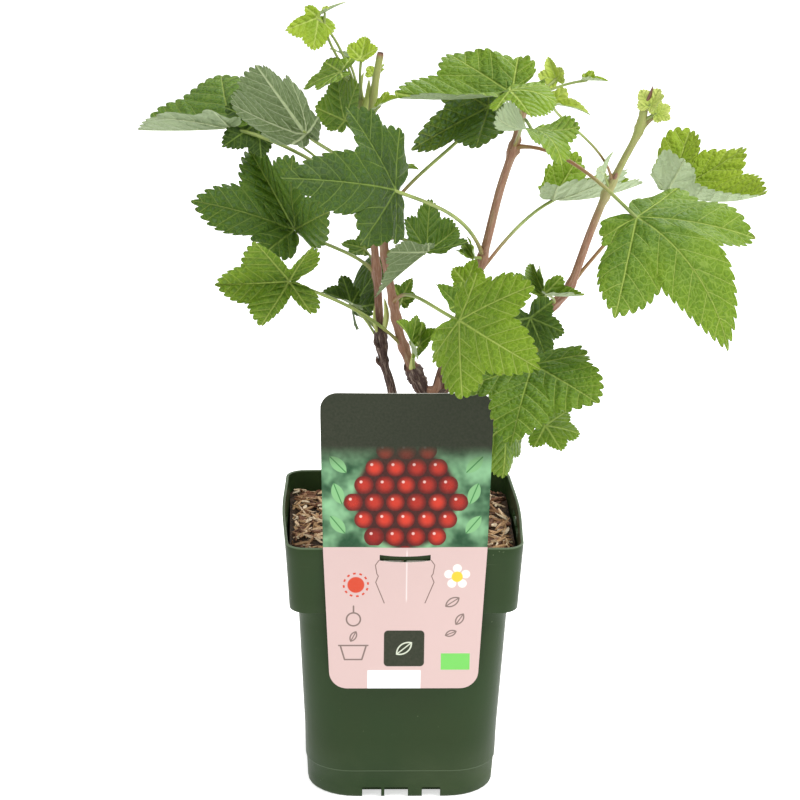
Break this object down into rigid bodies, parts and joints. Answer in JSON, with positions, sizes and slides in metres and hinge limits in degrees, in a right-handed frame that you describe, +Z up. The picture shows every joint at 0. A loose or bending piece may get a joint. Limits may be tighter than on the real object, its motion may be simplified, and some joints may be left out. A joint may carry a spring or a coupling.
{
  "type": "potted redcurrant bush",
  "caption": "Young redcurrant bush with lobed leaves on woody stems, in a square plastic nursery pot with growing mix and a hang label.",
  "frame": {"origin": "middle of the pot's underside, on the ground", "axes": "+Z up, the label faces -Y, +X to the right as seen from the label's side"},
  "size_m": [0.2923, 0.1714, 0.3702],
  "materials": {
    "pot_plastic": "satin dark green moulded plastic with fine scuffs",
    "growing_mix": "rough dark peat with bark chips and pale straw fibres",
    "label_card": "printed plastic card, pale pink below, green with red fruits above, dark green top band",
    "leafy_stem": "matt green leaf, paler and greyer underneath, on brown bark"
  },
  "bodies": {
    "root": {"pot": "pot_plastic", "soil": "growing_mix", "label": "label_card", "left_stem": "leafy_stem", "forked_stem": "leafy_stem"}
  },
  "joints": []
}
